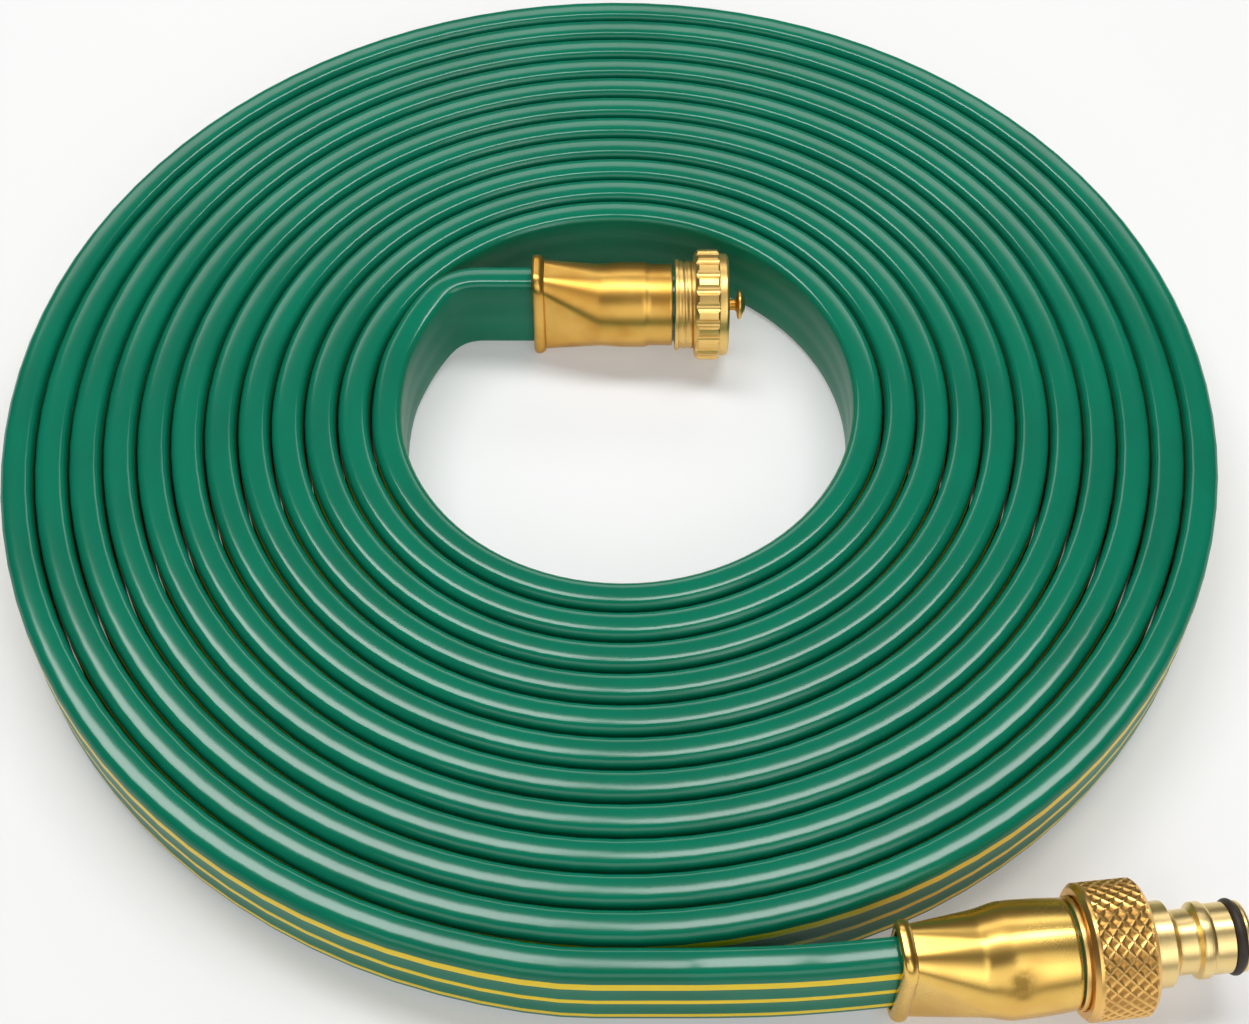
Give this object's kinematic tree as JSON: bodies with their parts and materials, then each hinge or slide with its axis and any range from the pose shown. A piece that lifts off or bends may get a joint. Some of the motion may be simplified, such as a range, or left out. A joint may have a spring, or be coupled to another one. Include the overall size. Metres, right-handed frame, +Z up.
{
  "type": "soaker hose with crimped brass ends",
  "caption": "Flat sprinkler hose wound on edge in a flat coil, with a screwed quick-connect plug at the inlet and a screwed cap closing the far end.",
  "frame": {"origin": "middle of the whole's bounding box, on the floor", "axes": "+Z up, square to the flat coil; +X the way both fittings point; +Y from the inlet's side across the coil"},
  "size_m": [0.2962, 0.3052, 0.03],
  "materials": {
    "hose": "glossy flexible PVC with yellow lines",
    "brass": "bright turned and pressed brass",
    "seal": "matte"
  },
  "bodies": {
    "hose_body": {"hose_coil": "hose", "hose_outer_lead": "hose", "hose_inner_lead": "hose", "hose_inlet_end": "hose", "hose_cap_end": "hose", "inlet_ferrule": "brass", "end_ferrule": "brass", "inlet_tail": "brass", "end_tail": "brass"},
    "inlet_seal": {"inlet_washer": "seal"},
    "inlet_swivel": {"inlet_connector": "brass", "connector_o_ring": "seal"},
    "cap_seal": {"end_washer": "seal"},
    "cap_turning": {"end_cap": "brass", "chain_stud": "brass"}
  },
  "joints": [
    {"name": "inlet_travel", "type": "slide", "parent": "hose_body", "child": "inlet_seal", "axis": [0.994, 0.1097, 0], "range_m": [0, 0.00808]},
    {"name": "inlet_turn", "type": "hinge", "parent": "inlet_seal", "child": "inlet_swivel", "pos_m": [0.10554, -0.13764, 0.015], "axis": [0.994, 0.1097, 0], "range_deg": [0, 1602]},
    {"name": "cap_travel", "type": "slide", "parent": "hose_body", "child": "cap_seal", "axis": [1, 0, 0], "range_m": [0, 0.00363]},
    {"name": "cap_turn", "type": "hinge", "parent": "cap_seal", "child": "cap_turning", "pos_m": [0.02467, 0.04065, 0.015], "axis": [1, 0, 0], "range_deg": [0, 720]}
  ],
  "couplings": [
    {"joint": "inlet_travel", "follows": "inlet_turn", "m_per_rad": 0.00028871},
    {"joint": "cap_travel", "follows": "cap_turn", "m_per_rad": 0.00028871}
  ]
}
